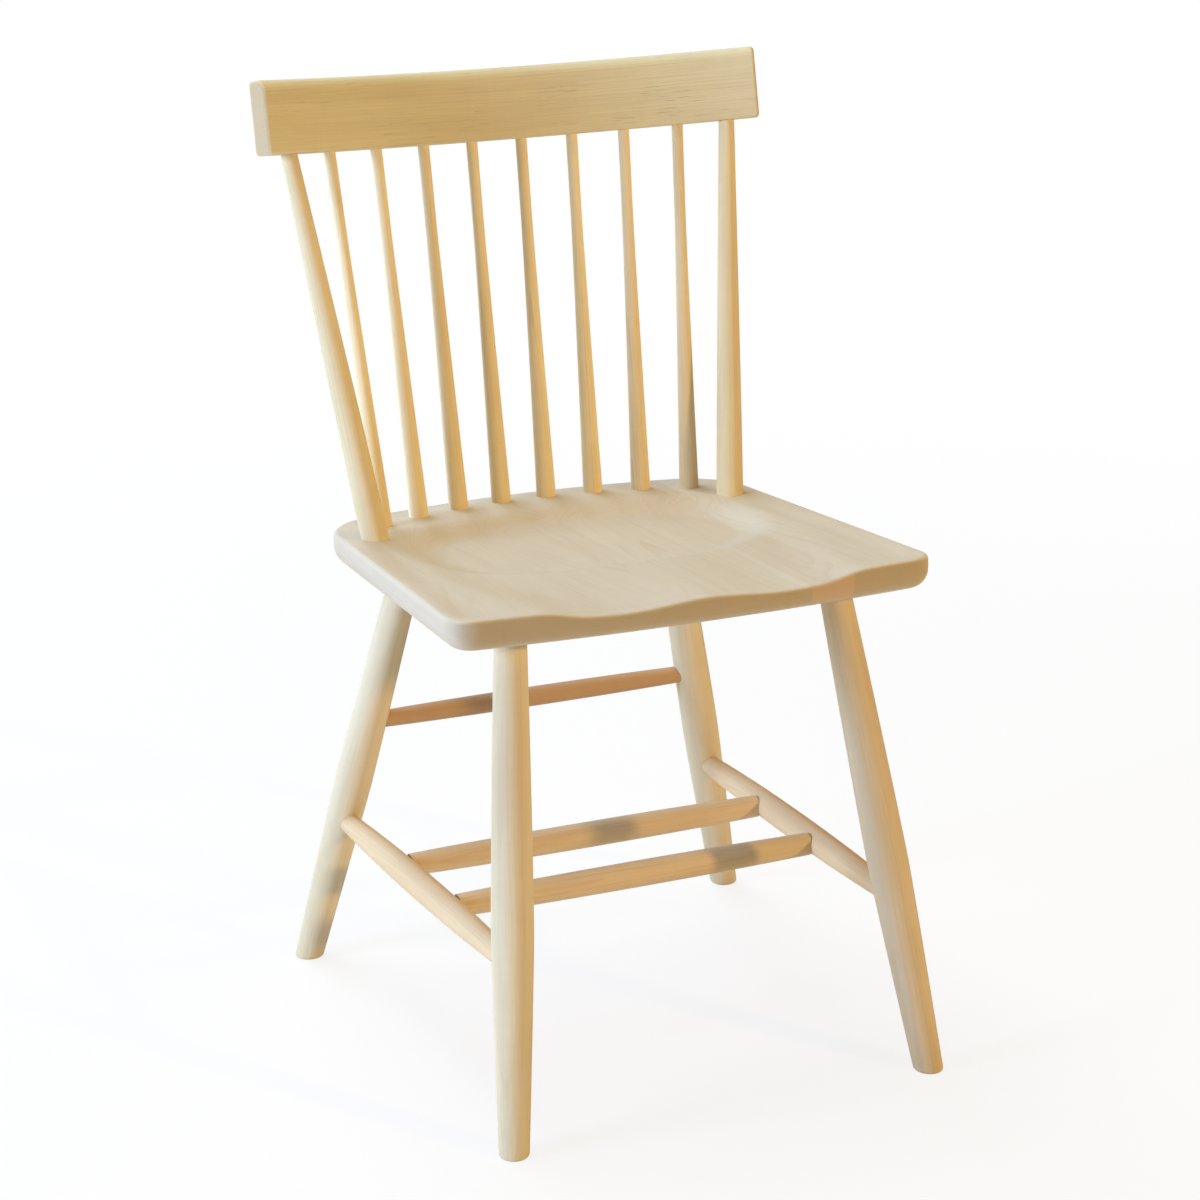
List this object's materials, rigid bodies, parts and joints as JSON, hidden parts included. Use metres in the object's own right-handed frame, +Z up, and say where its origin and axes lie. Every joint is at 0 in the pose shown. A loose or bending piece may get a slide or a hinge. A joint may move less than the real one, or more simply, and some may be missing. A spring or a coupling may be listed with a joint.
{
  "type": "side chair",
  "caption": "Armless wooden dining chair with a saddled plank seat, a fan of slim turned spindles under a bent crest rail, and splayed turned legs joined by stretchers.",
  "frame": {"origin": "middle of the chair's overall width and depth, on the floor plane that its feet stand on", "axes": "+Z up; the sitter faces -Y, so +Y is towards the back of the chair; +X is to the right of someone who looks at the chair from the front"},
  "size_m": [0.5106, 0.5543, 0.8605],
  "materials": {
    "rail_maple": "bare maple sanded smooth, straight grain along the rail with fine dark flecks",
    "post_maple": "bare turned maple, grain along the length",
    "spindle_maple": "bare turned maple, warmer, grain along the length",
    "seat_maple": "bare maple sanded smooth, grain running front to back, boards of slightly different tone",
    "seat_maple_warm": "bare maple sanded smooth, a warmer board of the seat",
    "leg_maple": "bare turned maple, pale, grain along the length",
    "stretcher_maple": "bare turned maple, grain along the length",
    "rung_maple": "bare turned maple, tan, grain along the length"
  },
  "bodies": {
    "root": {"crest_rail": "rail_maple", "post_left": "post_maple", "post_right": "post_maple", "spindle_1": "spindle_maple", "spindle_2": "spindle_maple", "spindle_3": "spindle_maple", "spindle_4": "spindle_maple", "spindle_5": "spindle_maple", "spindle_6": "spindle_maple", "spindle_7": "spindle_maple", "spindle_8": "spindle_maple", "seat_stave_1": "seat_maple", "seat_stave_2": "seat_maple", "seat_stave_3": "seat_maple", "seat_stave_4": "seat_maple", "seat_stave_5": "seat_maple_warm", "seat_stave_6": "seat_maple", "leg_front_left": "leg_maple", "leg_front_right": "leg_maple", "leg_rear_left": "leg_maple", "leg_rear_right": "leg_maple", "side_stretcher_left": "stretcher_maple", "side_stretcher_right": "stretcher_maple", "cross_rung_front": "rung_maple", "cross_rung_rear": "rung_maple", "rear_rung": "rung_maple"}
  },
  "joints": []
}
